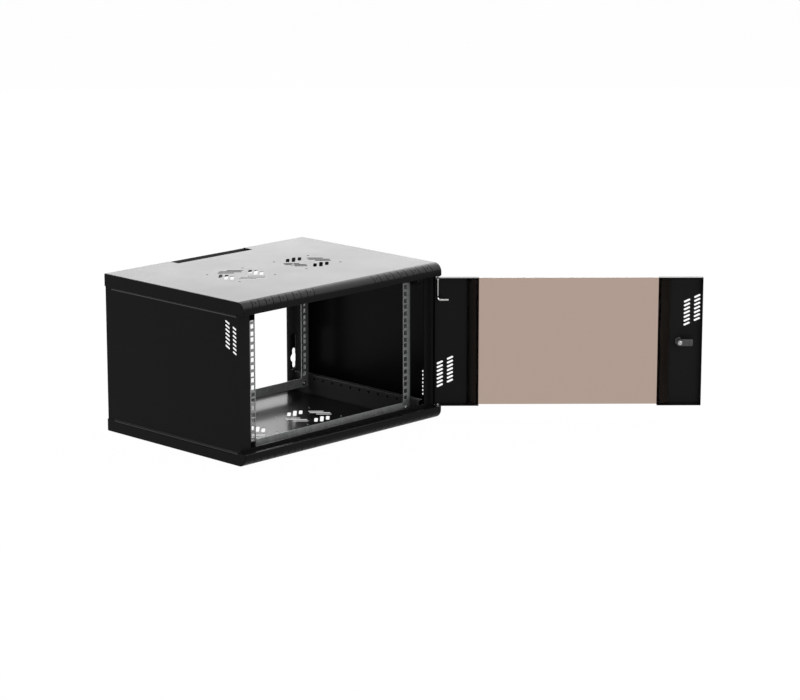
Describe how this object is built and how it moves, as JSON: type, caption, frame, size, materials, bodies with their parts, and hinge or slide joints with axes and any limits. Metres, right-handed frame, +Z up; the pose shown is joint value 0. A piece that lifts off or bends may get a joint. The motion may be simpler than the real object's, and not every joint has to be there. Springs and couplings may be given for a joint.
{
  "type": "rack cabinet",
  "caption": "Wall-mounted sheet-metal rack cabinet with perforated rounded lids, zinc rails and a hinged glass door that has a sprung hinge pin and a cam lock.",
  "frame": {"origin": "centre of the underside of the bottom lid", "axes": "+X to the right seen from the front, +Y to the back, +Z up; the door is stored swung open 135 degrees"},
  "size_m": [1.017, 0.869, 0.356],
  "materials": {
    "black_coat": "satin black powder coat",
    "zinc_plate": "dull zinc plate",
    "bright_steel": "bright zinc plate",
    "chrome_plate": "polished plate",
    "bush_plastic": "moulded",
    "smoked_glass": "bronze tinted, polished",
    "tape": "foam bonding tape"
  },
  "bodies": {
    "cabinet": {"top_lid": "black_coat", "bottom_lid": "black_coat", "left_side_panel": "black_coat", "right_side_panel": "black_coat", "front_post_left": "black_coat", "front_post_right": "black_coat", "front_sill": "black_coat", "rear_post_left": "black_coat", "rear_post_right": "black_coat", "rear_top_cross_member": "black_coat", "side_channel_bottom_left": "black_coat", "side_channel_bottom_right": "black_coat", "side_channel_top_left": "black_coat", "side_channel_top_right": "black_coat", "rail_front_left": "zinc_plate", "rail_front_right": "zinc_plate", "rail_rear_left": "zinc_plate", "rail_rear_right": "zinc_plate", "cross_bar_front_bottom": "zinc_plate", "cross_bar_front_top": "zinc_plate", "cross_bar_rear_bottom": "zinc_plate", "cross_bar_rear_top": "zinc_plate", "cross_bar_screws": "bright_steel", "rail_bolts": "bright_steel", "rail_nuts": "bright_steel", "upper_hinge_bush": "bush_plastic", "lower_hinge_bush": "bush_plastic"},
    "door": {"door_hinge_stile": "black_coat", "door_lock_stile": "black_coat", "door_glass": "smoked_glass", "glass_tape_hinge": "tape", "glass_tape_lock": "tape", "pin_guide": "black_coat", "lower_hinge_pin": "bright_steel", "lock_housing": "chrome_plate", "lock_nut": "bright_steel"},
    "pin": {"hinge_pin": "bright_steel", "pin_clip": "bright_steel", "pin_spring": "bright_steel"},
    "lock": {"lock_plug": "chrome_plate", "lock_cam": "bright_steel", "cam_screw": "bright_steel"}
  },
  "joints": [
    {"name": "door_hinge", "type": "hinge", "parent": "cabinet", "child": "door", "pos_m": [0.2934, -0.219, 0], "axis": [0, 0, 1], "range_deg": [-135, 45]},
    {"name": "hinge_pin_slide", "type": "slide", "parent": "door", "child": "pin", "axis": [0, 0, -1], "range_m": [0, 0.008], "stiffness_N_per_m": 400, "springref_m": -0.006, "deforming": ["pin_spring"]},
    {"name": "lock_turn", "type": "hinge", "parent": "door", "child": "lock", "pos_m": [0.68118, -0.59829, 0.177], "axis": [0.7071, 0.7071, 0], "range_deg": [0, 45]}
  ]
}
